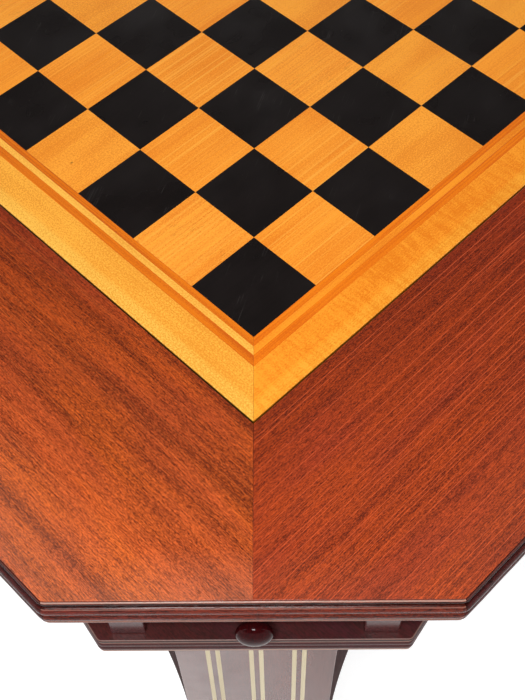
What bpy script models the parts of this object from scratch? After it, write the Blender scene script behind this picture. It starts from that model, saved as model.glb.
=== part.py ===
"""Gaming table: a canted square top with a lift-out chessboard, on four canted legs.

Metres, +Z up, origin on the floor under the middle of the table. Every repeated piece is
modelled once, with local +X pointing outward from the table's centre, and then turned about Z:
by the angles in SIDES for the long sides and by those in CORNERS for the canted corners.
"""
import math

import bmesh
import bpy

# Driving dimensions -----------------------------------------------------------------------
GAP = 0.0003               # left between neighbouring pieces
SQUARE = 0.050             # one square of the chessboard
TABLE_HEIGHT = 0.750
TOP_HALF = 0.382           # centre to the edge of the top's surface
LONG_SIDE_HALF = 0.2365    # half of a long side, up to the corner cut
TOP_THICK = 0.0225
LIPPING = 0.004            # width of the moulded lipping where it meets the veneer

FIELD_HALF = 4 * SQUARE
BAND_EDGES = (FIELD_HALF, 0.2045, 0.2085, 0.21375)   # orange band, light line, orange band
BOARD_HALF = 0.23775
BOARD_OPENING_HALF = 0.239
BOARD_THICK = 0.016
VENEER = 0.002
BAIZE = 0.0015

TIER_TOP = 0.695
TIER_THICK = 0.016
TIER_FRONT = 0.4363        # centre to the canted front of the tier
TIER_SIDE_HALF = 0.2507    # half of a hollow long side, corner to corner
TIER_HOLLOW = 0.0240       # how far the middle of a long side is hollowed

WELL_WALL = 0.012
WELL_WALL_OUTER = 0.2385

BLOCK_WIDTH = 0.0185
BLOCK_LENGTH = 0.080
BLOCK_CENTRE = 0.066       # block centre, sideways from the diagonal
BLOCK_SETBACK = 0.0046     # block front behind the tier's front

DRAWER_SLACK = 0.001       # each side, between the blocks
DRAWER_LIFT = 0.0005       # above the tier
DRAWER_HEIGHT = 0.031
DRAWER_FACE = 0.421        # centre to the drawer's front face
DRAWER_FRONT_THICK = 0.010
DRAWER_WALL = 0.006
DRAWER_FLOOR = 0.004
DRAWER_TRAVEL = 0.052

KNOB_STEM = 0.0112
KNOB_HEAD = 0.0118
KNOB_RADIUS = 0.0100
KNOB_NECK = 0.0036
TENON_RADIUS = 0.0030
TENON_LENGTH = 0.0070

LEG_FACE = 0.430           # centre to a leg's front face
LEG_TOP_HALF = 0.0442      # half width of the front face, just below the top's small flare
LEG_FOOT_HALF = 0.0360
LEG_DEPTH_TOP = 0.038
LEG_DEPTH_FOOT = 0.028
LEG_FACE_FLARE = (0.0012, 0.0120)   # extra half width at the top, and its decay length
LEG_BACK_FLARE = (0.0300, 0.1450)   # the same for the leg's back
GLIDE_RADIUS = 0.011
GLIDE_HEIGHT = 0.004

STOP_SIZE = (0.008, 0.030, 0.006)

SIDES = {"front": -90, "right": 0, "back": 90, "left": 180}
CORNERS = {"front_right": -45, "back_right": 45, "back_left": 135, "front_left": -135}

# Derived dimensions -----------------------------------------------------------------------
TOP_BOTTOM = TABLE_HEIGHT - TOP_THICK
TOP_FRONT = (TOP_HALF + LONG_SIDE_HALF) / math.sqrt(2)   # centre to the canted edge
RAIL_HALF = TOP_HALF - LIPPING
RAIL_FRONT = TOP_FRONT - LIPPING
BOARD_BOTTOM = TABLE_HEIGHT - BOARD_THICK
TIER_BOTTOM = TIER_TOP - TIER_THICK
DRAWER_HALF = BLOCK_CENTRE - BLOCK_WIDTH / 2 - DRAWER_SLACK
DRAWER_MIDDLE = TIER_TOP + DRAWER_LIFT + DRAWER_HEIGHT / 2
DRAWER_BACK = WELL_WALL_OUTER * math.sqrt(2) + 0.004

# Reeded edge of the top, for a section TOP_THICK high: (centre below the top face, half
# height, reach beyond the veneer's edge) of the two beads and of the roll under them.
REEDS = ((0.0084, 0.0036, 0.0060), (0.0156, 0.0036, 0.0060), (0.0207, 0.0018, 0.0052))
REED_ROOT = 0.0026
LIP_REACH = 0.0040
TIER_LIP_REACH = 0.0056    # the tier's lip stands almost flush with its beads
LIP_RADIUS = 0.0014
LIP_DEPTH = 0.0026
REED_STEPS = 6


# Scene and materials ----------------------------------------------------------------------
def clear_scene():
    """Remove every object that the file opened with."""
    for obj in list(bpy.data.objects):
        bpy.data.objects.remove(obj, do_unlink=True)


def new_collection(name):
    """Make a collection under the scene's own."""
    collection = bpy.data.collections.new(name)
    bpy.context.scene.collection.children.link(collection)
    return collection


def new_material(name, colour, roughness):
    """Make a plain Principled material."""
    material = bpy.data.materials.new(name)
    material.use_nodes = True
    shader = material.node_tree.nodes["Principled BSDF"]
    shader.inputs["Base Color"].default_value = (*colour, 1)
    shader.inputs["Roughness"].default_value = roughness
    shader.inputs["Metallic"].default_value = 0
    return material


clear_scene()
PARTS = new_collection("gaming_table")
CUTTERS = new_collection("cutters")
MAHOGANY = new_material("mahogany", (0.27, 0.045, 0.016), 0.22)
DARK_MAHOGANY = new_material("dark_mahogany", (0.10, 0.022, 0.012), 0.22)
MAPLE = new_material("maple", (0.90, 0.37, 0.055), 0.20)
ORANGE = new_material("orange_veneer", (0.74, 0.19, 0.015), 0.20)
CHEQUER = new_material("chequer_veneer", (0.42, 0.18, 0.035), 0.20)
BAIZE_CLOTH = new_material("baize", (0.02, 0.12, 0.05), 0.95)
DRAWER_WOOD = new_material("drawer_wood", (0.42, 0.22, 0.10), 0.45)
NYLON = new_material("nylon", (0.06, 0.05, 0.04), 0.50)


# Shapes -----------------------------------------------------------------------------------
def place(name, data, material, angle=0.0, location=(0, 0, 0), parent=None):
    """Put a mesh or curve in the scene, turned about Z by an angle in degrees."""
    obj = bpy.data.objects.new(name, data)
    if not data.materials:
        data.materials.append(material)
    obj.location = location
    obj.rotation_euler.z = math.radians(angle)
    obj.parent = parent
    PARTS.objects.link(obj)
    return obj


def place_empty(name, location, angle=0.0):
    """Put an empty on a joint's axis; the pieces that move on that joint are its children."""
    empty = bpy.data.objects.new(name, None)
    empty.location = location
    empty.rotation_euler.z = math.radians(angle)
    PARTS.objects.link(empty)
    return empty


def place_cutter(name, mesh, parent, location=(0, 0, 0), tilt=0.0):
    """Put a hidden cutter in the scene, under the empty of the piece that it cuts."""
    cutter = bpy.data.objects.new(name, mesh)
    cutter.location = location
    cutter.rotation_euler.y = math.radians(tilt)
    cutter.parent = parent
    cutter.hide_render = True
    cutter.display_type = "WIRE"
    CUTTERS.objects.link(cutter)
    return cutter


def cut(obj, cutter):
    """Subtract a cutter from an object."""
    boolean = obj.modifiers.new("cut", "BOOLEAN")
    boolean.operation = "DIFFERENCE"
    boolean.object = cutter


def soften(obj, width):
    """Take the sharp arrises off an object."""
    bevel = obj.modifiers.new("arris", "BEVEL")
    bevel.width = width
    bevel.segments = 1
    bevel.limit_method = "ANGLE"
    bevel.angle_limit = math.radians(50)


def mesh_from(name, builder):
    """Run a function that fills a bmesh and store the result as a mesh."""
    bm = bmesh.new()
    builder(bm)
    bmesh.ops.recalc_face_normals(bm, faces=bm.faces)
    mesh = bpy.data.meshes.new(name)
    bm.to_mesh(mesh)
    bm.free()
    return mesh


def box(name, low, high):
    """Make a box between two corners."""
    def builder(bm):
        bmesh.ops.create_cube(bm, size=1)
        for vert in bm.verts:
            for axis in range(3):
                middle = (low[axis] + high[axis]) / 2
                vert.co[axis] = middle + vert.co[axis] * (high[axis] - low[axis])
    return mesh_from(name, builder)


def rod(name, radius, length, sides):
    """Make a cylinder along Z that starts at its origin."""
    def builder(bm):
        bmesh.ops.create_cone(bm, cap_ends=True, segments=sides,
                              radius1=radius, radius2=radius, depth=length)
        for vert in bm.verts:
            vert.co.z += length / 2
    return mesh_from(name, builder)


def loft(name, rings):
    """Join rings of points, each with the same number of points, and cap both ends."""
    def builder(bm):
        loops = [[bm.verts.new(point) for point in ring] for ring in rings]
        count = len(loops[0])
        for lower, upper in zip(loops, loops[1:]):
            for i in range(count):
                j = (i + 1) % count
                bm.faces.new((lower[i], lower[j], upper[j], upper[i]))
        bm.faces.new(loops[0])
        bm.faces.new(loops[-1])
    return mesh_from(name, builder)


def flat_outline(name, outlines, thickness):
    """Make a flat piece from closed outlines; an outline inside another is a hole."""
    curve = bpy.data.curves.new(name, "CURVE")
    curve.dimensions = "2D"
    curve.fill_mode = "BOTH"
    curve.extrude = thickness / 2
    for points in outlines:
        spline = curve.splines.new("POLY")
        spline.points.add(len(points) - 1)
        for slot, (x, y) in zip(spline.points, points):
            slot.co = (x, y, 0, 1)
        spline.use_cyclic_u = True
    return curve


def square(half):
    """Return the corners of a square about the origin."""
    return [(-half, -half), (half, -half), (half, half), (-half, half)]


def reed_profile(height, lip_reach=LIP_REACH):
    """Return (reach, drop) points down a reeded edge, from its lip to its underside."""
    scale = height / TOP_THICK
    points = []
    for i in range(4):
        turn = math.radians(90 - 30 * i)
        points.append((lip_reach - LIP_RADIUS + LIP_RADIUS * math.cos(turn),
                       LIP_RADIUS - LIP_RADIUS * math.sin(turn)))
    points.append((lip_reach, LIP_DEPTH))
    points.append((REED_ROOT, LIP_DEPTH + 0.0004))
    for centre, half, reach in REEDS:
        for i in range(REED_STEPS + 1):
            turn = math.radians(90 - 180 * i / REED_STEPS)
            point = (REED_ROOT + (reach - REED_ROOT) * math.cos(turn),
                     centre - half * math.sin(turn))
            if math.dist(point, points[-1]) > 0.0001:
                points.append(point)
    return [(reach * scale, drop * scale) for reach, drop in points]


# Top frame --------------------------------------------------------------------------------
def top_rail():
    """Outline one side of the mitred frame around the board's opening."""
    mitre = GAP / 2 * math.sqrt(2)
    inner = BOARD_OPENING_HALF
    canted = RAIL_FRONT * math.sqrt(2)
    upper = [(inner, inner - mitre), ((canted + mitre) / 2, (canted - mitre) / 2),
             (RAIL_HALF, canted - RAIL_HALF)]
    lower = [(x, -y) for x, y in reversed(upper)]
    return flat_outline("top_rail", [lower + upper], TOP_THICK)


def moulding(name, distance, half_length):
    """Make a straight length of the top's reeded lipping with mitred ends.

    distance is from the table's centre to the veneer's edge, and half_length is the half
    length of the lip's outer edge, which the neighbouring lengths meet at 45 degrees.
    """
    section = [(GAP, TOP_THICK), (GAP, 0)] + reed_profile(TOP_THICK) + [(REED_ROOT, TOP_THICK)]
    slope = math.tan(math.radians(22.5))
    trim = GAP / 2 / math.cos(math.radians(22.5))

    def ring(side):
        points = []
        for reach, drop in section:
            half = half_length + (reach - LIP_REACH) * slope - trim
            points.append((distance + reach, side * half, TABLE_HEIGHT - drop))
        return points
    return loft(name, [ring(-1), ring(1)])


def build_top():
    """Frame rails, and the lippings on the long sides and on the canted corners."""
    rail = top_rail()
    side_moulding = moulding("side_moulding", RAIL_HALF, LONG_SIDE_HALF)
    canted_half = (TOP_HALF - LONG_SIDE_HALF) / math.sqrt(2)
    corner_moulding = moulding("corner_moulding", RAIL_FRONT, canted_half)
    middle = TABLE_HEIGHT - TOP_THICK / 2
    for side, angle in SIDES.items():
        place(f"top_rail_{side}", rail, MAHOGANY, angle, (0, 0, middle))
        place(f"edge_moulding_{side}", side_moulding, MAHOGANY, angle)
    for corner, angle in CORNERS.items():
        place(f"edge_moulding_{corner}", corner_moulding, MAHOGANY, angle)


# Lift-out board ---------------------------------------------------------------------------
def maple_border():
    """Outline one mitred side of the maple border."""
    mitre = GAP / 2 * math.sqrt(2)
    inner = BAND_EDGES[-1] + GAP / 2
    upper = [(inner, inner - mitre), (BOARD_HALF, BOARD_HALF - mitre)]
    lower = [(x, -y) for x, y in reversed(upper)]
    return flat_outline("maple_border", [lower + upper], BOARD_THICK)


def build_board():
    """The reversible board: maple frame, core, veneers on top and baize underneath."""
    lift = place_empty("board_lift_axis", (0, 0, BOARD_BOTTOM))
    border = maple_border()
    for side, angle in SIDES.items():
        place(f"maple_border_{side}", border, MAPLE, angle, (0, 0, BOARD_THICK / 2), lift)

    inside = BAND_EDGES[-1] - GAP / 2
    veneer_middle = BOARD_THICK - VENEER / 2
    names = ("inlay_band_inner", "inlay_line", "inlay_band_outer")
    materials = (ORANGE, MAPLE, ORANGE)
    for name, material, low, high in zip(names, materials, BAND_EDGES, BAND_EDGES[1:]):
        ring = [square(high - GAP / 2), square(low + GAP / 2)]
        place(name, flat_outline(name, ring, VENEER), material, 0, (0, 0, veneer_middle), lift)
    field = flat_outline("chequer_field", [square(FIELD_HALF - GAP / 2)], VENEER)
    place("chequer_field", field, CHEQUER, 0, (0, 0, veneer_middle), lift)

    core = box("board_core", (-inside, -inside, BAIZE + GAP),
               (inside, inside, BOARD_THICK - VENEER - GAP))
    place("board_core", core, DRAWER_WOOD, parent=lift)
    baize = box("board_baize", (-inside, -inside, 0), (inside, inside, BAIZE))
    place("board_baize", baize, BAIZE_CLOTH, parent=lift)


# Well and tier ----------------------------------------------------------------------------
def build_well():
    """Four mitred walls that carry the board, and the baize on the floor between them."""
    mitre = GAP / 2 * math.sqrt(2)
    inner = WELL_WALL_OUTER - WELL_WALL
    upper = [(inner, inner - mitre), (WELL_WALL_OUTER, WELL_WALL_OUTER - mitre)]
    lower = [(x, -y) for x, y in reversed(upper)]
    low = TIER_TOP + GAP
    high = BOARD_BOTTOM - GAP
    wall = flat_outline("well_wall", [lower + upper], high - low)
    for side, angle in SIDES.items():
        place(f"well_wall_{side}", wall, MAHOGANY, angle, (0, 0, (low + high) / 2))
    half = inner - GAP
    lining = box("well_lining", (-half, -half, low), (half, half, low + BAIZE))
    place("well_lining", lining, BAIZE_CLOTH)


def tier_outline(inset, height):
    """Points around the tier, set in from its full outline, at one height."""
    start = TIER_FRONT * math.sqrt(2) - TIER_SIDE_HALF
    radius = (TIER_SIDE_HALF ** 2 + TIER_HOLLOW ** 2) / (2 * TIER_HOLLOW)
    centre = start - TIER_HOLLOW + radius
    radius += inset
    canted = (TIER_FRONT - inset) * math.sqrt(2)
    # The canted front x + y = canted meets the hollow side's circle at y = corner.
    across = canted - centre
    corner = (across + math.sqrt(2 * radius ** 2 - across ** 2)) / 2
    sweep = math.asin(corner / radius)
    steps = 12
    side = []
    for i in range(steps + 1):
        turn = sweep * (2 * i / steps - 1)
        side.append((centre - radius * math.cos(turn), radius * math.sin(turn)))
    points = []
    for angle in (0, 90, 180, 270):
        c, s = math.cos(math.radians(angle)), math.sin(math.radians(angle))
        points += [(c * x - s * y, s * x + c * y, height) for x, y in side]
    return points


def build_tier():
    """The lower tier, with hollow long sides and the reeded edge worked on it."""
    profile = reed_profile(TIER_THICK, TIER_LIP_REACH)
    furthest = max(reach for reach, drop in profile)
    rings = [tier_outline(furthest - reach, TIER_TOP - drop) for reach, drop in profile]
    rings.append(tier_outline(furthest - profile[-1][0] + 0.0002, TIER_BOTTOM))
    place("lower_tier", loft("lower_tier", rings), DARK_MAHOGANY)


# Corner blocks and drawers ----------------------------------------------------------------
def build_blocks():
    """Two spacer blocks at each corner, which join tier and top and guide the drawer."""
    front = TIER_FRONT - BLOCK_SETBACK
    low = (front - BLOCK_LENGTH, -BLOCK_WIDTH / 2, TIER_TOP + GAP)
    high = (front, BLOCK_WIDTH / 2, TOP_BOTTOM - GAP)
    block = box("spacer_block", low, high)
    for corner, angle in CORNERS.items():
        turn = math.radians(angle)
        for hand, offset in (("a", -BLOCK_CENTRE), ("b", BLOCK_CENTRE)):
            location = (-offset * math.sin(turn), offset * math.cos(turn), 0)
            obj = place(f"spacer_block_{corner}_{hand}", block, DARK_MAHOGANY, angle, location)
            soften(obj, 0.0004)


def knob_profile():
    """Points (radius, distance out of the drawer front) from the knob's crown to its tenon."""
    middle = KNOB_STEM + KNOB_HEAD / 2
    points = [(0, KNOB_STEM + KNOB_HEAD)]
    steps = 9
    for i in range(1, steps):
        turn = math.radians(90 - 180 * i / steps)
        points.append((KNOB_RADIUS * math.cos(turn), middle + KNOB_HEAD / 2 * math.sin(turn)))
    points += [(KNOB_NECK, KNOB_STEM), (KNOB_NECK, 0.0030), (KNOB_NECK + 0.0015, GAP),
               (TENON_RADIUS, GAP), (TENON_RADIUS, -TENON_LENGTH), (0, -TENON_LENGTH)]
    return points


def turned(name, profile):
    """Store a profile, as (radius, height) points, for a Screw modifier to turn."""
    mesh = bpy.data.meshes.new(name)
    edges = [(i, i + 1) for i in range(len(profile) - 1)]
    mesh.from_pydata([(radius, 0, height) for radius, height in profile], edges, [])
    return mesh


def turn_profile(obj, sides):
    """Turn an object's profile once around its own Z axis."""
    screw = obj.modifiers.new("turned", "SCREW")
    screw.steps = sides
    screw.render_steps = sides
    screw.use_merge_vertices = True
    screw.merge_threshold = 0.00005
    screw.use_smooth_shade = True


def build_drawers():
    """A shallow drawer between each pair of blocks, pulled out along the diagonal."""
    top = DRAWER_HEIGHT / 2
    back = DRAWER_BACK - DRAWER_FACE
    joint = -DRAWER_FRONT_THICK - GAP
    front = box("drawer_front", (-DRAWER_FRONT_THICK, -DRAWER_HALF, -top),
                (0, DRAWER_HALF, top))
    tray = box("drawer_tray", (back, -DRAWER_HALF, -top), (joint, DRAWER_HALF, top))
    inside = DRAWER_HALF - DRAWER_WALL
    hollow = box("drawer_hollow", (back + DRAWER_WALL, -inside, -top + DRAWER_FLOOR),
                 (joint + 0.01, inside, top + 0.01))
    hole = rod("knob_hole", TENON_RADIUS + GAP, TENON_LENGTH + GAP + 0.01, 16)
    profile = turned("drawer_knob", knob_profile())
    for corner, angle in CORNERS.items():
        turn = math.radians(angle)
        location = (DRAWER_FACE * math.cos(turn), DRAWER_FACE * math.sin(turn), DRAWER_MIDDLE)
        axis = place_empty(f"drawer_{corner}_axis", location, angle)
        front_obj = place(f"drawer_front_{corner}", front, MAHOGANY, parent=axis)
        bore = place_cutter(f"knob_hole_{corner}", hole, axis,
                            (-TENON_LENGTH - GAP, 0, 0), tilt=90)
        cut(front_obj, bore)
        tray_obj = place(f"drawer_tray_{corner}", tray, DRAWER_WOOD, parent=axis)
        cut(tray_obj, place_cutter(f"drawer_hollow_{corner}", hollow, axis))
        knob = place(f"drawer_knob_{corner}", profile, MAHOGANY, parent=axis)
        knob.rotation_euler.y = math.radians(90)
        turn_profile(knob, 20)


def build_stops():
    """A glue block under each mitre of the top, which the drawer's back meets when pulled."""
    low = DRAWER_BACK + DRAWER_WALL + DRAWER_TRAVEL + 0.0005
    length, width, height = STOP_SIZE
    stop = box("drawer_stop", (low, -width / 2, TOP_BOTTOM - GAP - height),
               (low + length, width / 2, TOP_BOTTOM - GAP))
    for corner, angle in CORNERS.items():
        place(f"drawer_stop_{corner}", stop, DRAWER_WOOD, angle)


# Legs -------------------------------------------------------------------------------------
def flare(amount_and_length, drop):
    """Return the extra half width of a flare that dies away down the leg."""
    amount, length = amount_and_length
    return amount * math.exp(-drop / length)


def leg_ring(drop, height):
    """Return a leg's section: a flat front face, and a wider back, a distance down the leg."""
    share = drop / height
    face = LEG_TOP_HALF + (LEG_FOOT_HALF - LEG_TOP_HALF) * share
    depth = LEG_DEPTH_TOP + (LEG_DEPTH_FOOT - LEG_DEPTH_TOP) * share
    front = face + flare(LEG_FACE_FLARE, drop)
    back = face + flare(LEG_BACK_FLARE, drop)
    z = TIER_BOTTOM - GAP - drop
    return [(LEG_FACE, -front, z), (LEG_FACE, front, z),
            (LEG_FACE - depth, back, z), (LEG_FACE - depth, -back, z)]


def build_legs():
    """A canted leg under each corner of the tier, on a round nylon glide."""
    height = TIER_BOTTOM - GLIDE_HEIGHT - 2 * GAP
    steps = 12
    drops = [height * (i / steps) ** 1.8 for i in range(steps + 1)]
    leg = loft("leg", [leg_ring(drop, height) for drop in drops])
    glide = rod("glide", GLIDE_RADIUS, GLIDE_HEIGHT, 24)
    foot = LEG_FACE - LEG_DEPTH_FOOT / 2
    for corner, angle in CORNERS.items():
        obj = place(f"leg_{corner}", leg, DARK_MAHOGANY, angle)
        soften(obj, 0.0012)
        turn = math.radians(angle)
        location = (foot * math.cos(turn), foot * math.sin(turn), 0)
        place(f"glide_{corner}", glide, NYLON, location=location)


build_top()
build_board()
build_well()
build_tier()
build_blocks()
build_drawers()
build_stops()
build_legs()
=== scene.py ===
"""Looks of the gaming table: fine pieces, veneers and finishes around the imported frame.

Metres, +Z up. Repeated pieces are made once in a local frame, +X pointing outward from the
table's centre, and turned about Z by the angles in SIDES and CORNERS. Every mesh carries a
"grain" attribute, (along the grain, across it, into the piece) in metres, which the woods read.
"""
import math
import random

import bpy
from mathutils import Matrix, Vector


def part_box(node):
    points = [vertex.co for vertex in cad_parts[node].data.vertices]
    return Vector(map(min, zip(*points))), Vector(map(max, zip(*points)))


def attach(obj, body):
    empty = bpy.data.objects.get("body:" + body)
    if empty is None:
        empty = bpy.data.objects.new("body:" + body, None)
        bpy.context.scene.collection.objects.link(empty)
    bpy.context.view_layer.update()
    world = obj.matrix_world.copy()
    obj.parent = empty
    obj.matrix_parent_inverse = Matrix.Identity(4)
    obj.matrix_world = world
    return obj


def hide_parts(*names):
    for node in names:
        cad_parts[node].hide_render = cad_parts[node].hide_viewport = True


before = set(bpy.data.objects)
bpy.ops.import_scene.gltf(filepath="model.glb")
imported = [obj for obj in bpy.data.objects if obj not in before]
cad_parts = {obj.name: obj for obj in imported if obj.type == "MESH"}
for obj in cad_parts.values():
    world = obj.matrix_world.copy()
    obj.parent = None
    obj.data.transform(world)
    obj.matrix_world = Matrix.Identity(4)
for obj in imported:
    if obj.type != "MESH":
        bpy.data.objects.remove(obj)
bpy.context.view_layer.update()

SIDES = {"front": -90, "right": 0, "back": 90, "left": 180}
CORNERS = {"front_right": -45, "back_right": 45, "back_left": 135, "front_left": -135}
LEG_TOP_HALF, LEG_FOOT_HALF = 0.0442, 0.0360    # half the width of a leg's face


def local_box(node, angle=0.0):
    """Lowest and highest corner of a CAD node in the frame turned about Z by angle degrees."""
    turn = Matrix.Rotation(math.radians(-angle), 3, "Z")
    points = [turn @ vert.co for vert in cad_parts[node].data.vertices]
    return Vector(map(min, zip(*points))), Vector(map(max, zip(*points)))


# Camera, floor and lights -----------------------------------------------------------------
def make_camera():
    """A camera above the front right corner, looking down at the board."""
    data = bpy.data.cameras.new("camera")
    data.lens = 60.9
    data.sensor_width = 36
    camera = bpy.data.objects.new("camera", data)
    camera.location = (0.4689, -0.4528, 1.2896)
    camera.rotation_euler = [math.radians(angle) for angle in (33.737, 0.751, 44.908)]
    bpy.context.scene.collection.objects.link(camera)
    bpy.context.scene.camera = camera


def aim(obj, target):
    """Point an object's -Z axis at a target."""
    direction = Vector(target) - obj.location
    obj.rotation_euler = direction.to_track_quat("-Z", "Y").to_euler()


def softbox(name, location, size, power, target=(0, 0, 0.7)):
    """A rectangular studio light."""
    data = bpy.data.lights.new(name, "AREA")
    data.shape = "RECTANGLE"
    data.size, data.size_y = size
    data.energy = power
    lamp = bpy.data.objects.new(name, data)
    lamp.location = location
    lamp.visible_camera = False
    aim(lamp, target)
    bpy.context.scene.collection.objects.link(lamp)


def make_studio():
    """A pale floor that curves up into a low wall all round, and soft lights."""
    radius, wall, bend, bend_steps = 6.0, 3.0, 1.5, 12
    profile = [(0, 0), (radius - bend, 0)]
    for step in range(1, bend_steps + 1):
        turn = math.radians(90 * step / bend_steps)
        profile.append((radius - bend + bend * math.sin(turn), bend - bend * math.cos(turn)))
    profile.append((radius, wall))
    count = 96
    verts = [(0, 0, 0)]
    for reach, height in profile[1:]:
        for i in range(count):
            turn = 2 * math.pi * i / count
            verts.append((reach * math.cos(turn), reach * math.sin(turn), height))
    faces = [(0, 1 + i, 1 + (i + 1) % count) for i in range(count)]
    for ring in range(len(profile) - 2):
        low = 1 + ring * count
        for i in range(count):
            j = (i + 1) % count
            faces.append((low + i, low + count + i, low + count + j, low + j))
    mesh = bpy.data.meshes.new("studio_floor")
    mesh.from_pydata(verts, [], faces)
    mesh.shade_smooth()
    floor = bpy.data.objects.new("studio_floor", mesh)
    paint = bpy.data.materials.new("studio_floor")
    paint.use_nodes = True
    shader = paint.node_tree.nodes["Principled BSDF"]
    shader.inputs["Base Color"].default_value = (0.80, 0.80, 0.80, 1)
    shader.inputs["Roughness"].default_value = 0.9
    shader.inputs["Emission Color"].default_value = (1, 1, 1, 1)
    shader.inputs["Emission Strength"].default_value = 0.55
    paint.cycles.emission_sampling = "NONE"
    mesh.materials.append(paint)
    bpy.context.scene.collection.objects.link(floor)

    world = bpy.data.worlds.new("studio")
    world.use_nodes = True
    sky = world.node_tree.nodes["Background"]
    sky.inputs["Color"].default_value = (1, 1, 1, 1)
    sky.inputs["Strength"].default_value = 0.10
    bpy.context.scene.world = world
    bpy.context.scene.view_settings.view_transform = "Standard"

    softbox("key_light", (0.56, -0.66, 1.75), (0.30, 0.24), 13, (0.22, -0.24, 0.75))
    softbox("left_light", (-1.5, -1.7, 2.2), (1.4, 1.0), 15)
    softbox("right_light", (1.7, 1.6, 2.3), (1.4, 1.0), 9)
    softbox("back_light", (-2.4, 2.4, 1.9), (1.6, 0.8), 7)


# Materials --------------------------------------------------------------------------------
def linear(red, green, blue):
    """An sRGB colour, 0 to 255, as linear light."""
    values = []
    for value in (red, green, blue):
        value /= 255
        values.append(value / 12.92 if value <= 0.04045 else ((value + 0.055) / 1.055) ** 2.4)
    return (*values, 1)


class Recipe:
    """A Principled material whose colour, roughness and bump are made by nodes."""

    def __init__(self, name, roughness=0.3, coat=0.0, coat_roughness=0.05, specular=0.5):
        self.material = bpy.data.materials.new(name)
        self.material.use_nodes = True
        self.tree = self.material.node_tree
        self.shader = self.tree.nodes["Principled BSDF"]
        self.shader.inputs["Roughness"].default_value = roughness
        self.shader.inputs["Coat Weight"].default_value = coat
        self.shader.inputs["Coat Roughness"].default_value = coat_roughness
        self.shader.inputs["Specular IOR Level"].default_value = specular
        self.grain = self.add("ShaderNodeAttribute", attribute_name="grain").outputs["Vector"]

    def add(self, kind, **settings):
        """Add a node and set its properties."""
        node = self.tree.nodes.new(kind)
        for name, value in settings.items():
            setattr(node, name, value)
        return node

    def feed(self, socket, value):
        """Link an output to an input, or set the input's value."""
        if isinstance(value, bpy.types.NodeSocket):
            self.tree.links.new(value, socket)
        else:
            socket.default_value = value

    def scaled(self, vector, scale):
        """Multiply a vector by cells per metre along, across and into the grain."""
        node = self.add("ShaderNodeVectorMath", operation="MULTIPLY")
        self.feed(node.inputs[0], vector)
        self.feed(node.inputs[1], scale)
        return node.outputs[0]

    def noise(self, scale, detail=1.0, vector=None, roughness=0.5):
        """Noise whose cells are 1/scale metres along, across and into the grain."""
        node = self.add("ShaderNodeTexNoise")
        self.feed(node.inputs["Vector"], self.scaled(vector or self.grain, scale))
        node.inputs["Scale"].default_value = 1.0
        node.inputs["Detail"].default_value = detail
        node.inputs["Roughness"].default_value = roughness
        return node.outputs["Fac"]

    def wandered(self, scale, amount):
        """The grain vector pushed sideways by slow noise, so that lines wander."""
        node = self.add("ShaderNodeTexNoise")
        self.feed(node.inputs["Vector"], self.scaled(self.grain, scale))
        node.inputs["Scale"].default_value = 1.0
        shift = self.add("ShaderNodeVectorMath", operation="SUBTRACT")
        self.feed(shift.inputs[0], node.outputs["Color"])
        self.feed(shift.inputs[1], (0.5, 0.5, 0.5))
        total = self.add("ShaderNodeVectorMath", operation="ADD")
        self.feed(total.inputs[0], self.grain)
        self.feed(total.inputs[1], self.scaled(shift.outputs[0], (0, amount, amount)))
        return total.outputs[0]

    def window(self, value, low, high, start=0.0, end=1.0):
        """Map low..high of a value to start..end, clamped."""
        node = self.add("ShaderNodeMapRange", clamp=True)
        self.feed(node.inputs["Value"], value)
        for name, number in (("From Min", low), ("From Max", high),
                             ("To Min", start), ("To Max", end)):
            node.inputs[name].default_value = number
        return node.outputs["Result"]

    def math(self, operation, first, second=0.0):
        """A math node."""
        node = self.add("ShaderNodeMath", operation=operation)
        self.feed(node.inputs[0], first)
        self.feed(node.inputs[1], second)
        return node.outputs[0]

    def mix(self, factor, first, second):
        """Mix two colours."""
        node = self.add("ShaderNodeMix", data_type="RGBA")
        factor_socket, colour_a, colour_b = node.inputs[0], node.inputs[6], node.inputs[7]
        self.feed(factor_socket, factor)
        self.feed(colour_a, first)
        self.feed(colour_b, second)
        return node.outputs[2]

    def dimmed(self, colour, factor):
        """Multiply a colour by a factor."""
        node = self.add("ShaderNodeVectorMath", operation="SCALE")
        self.feed(node.inputs[0], colour)
        self.feed(node.inputs["Scale"], factor)
        return node.outputs[0]

    def specked(self, colour, cells, size, amount, paint):
        """A colour with small round specks, so many cells of them to the metre."""
        node = self.add("ShaderNodeTexVoronoi")
        self.feed(node.inputs["Vector"], self.scaled(self.grain, cells))
        node.inputs["Scale"].default_value = 1.0
        spot = self.window(node.outputs["Distance"], size, 2 * size, amount, 0.0)
        return self.mix(spot, colour, paint)

    def axis(self, index):
        """One axis of the grain vector."""
        node = self.add("ShaderNodeSeparateXYZ")
        self.feed(node.inputs[0], self.grain)
        return node.outputs[index]

    def hollow(self):
        """Painted shade at a point, from 0 in the open to 1 deep in a groove; negative for a
        painted highlight.
        """
        return self.add("ShaderNodeAttribute", attribute_name="hollow").outputs["Fac"]

    def from_middle(self):
        """Distance along the piece from its middle, whichever way."""
        place = self.add("ShaderNodeAttribute", attribute_name="from_middle").outputs["Fac"]
        return self.math("ABSOLUTE", place)

    def finish(self, colour, roughness=None, height=None, depth=0.0, strength=1.0):
        """Link the results to the shader, and return the material."""
        self.feed(self.shader.inputs["Base Color"], colour)
        if roughness is not None:
            self.feed(self.shader.inputs["Roughness"], roughness)
        if height is not None:
            bump = self.add("ShaderNodeBump")
            bump.inputs["Strength"].default_value = strength
            bump.inputs["Distance"].default_value = depth
            self.feed(bump.inputs["Height"], height)
            self.feed(self.shader.inputs["Normal"], bump.outputs["Normal"])
        return self.material


SHADE_TINT = (0.56, 0.42, 0.46)    # tint of mahogany for painted shade, toward the board and the middle of a rail


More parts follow.
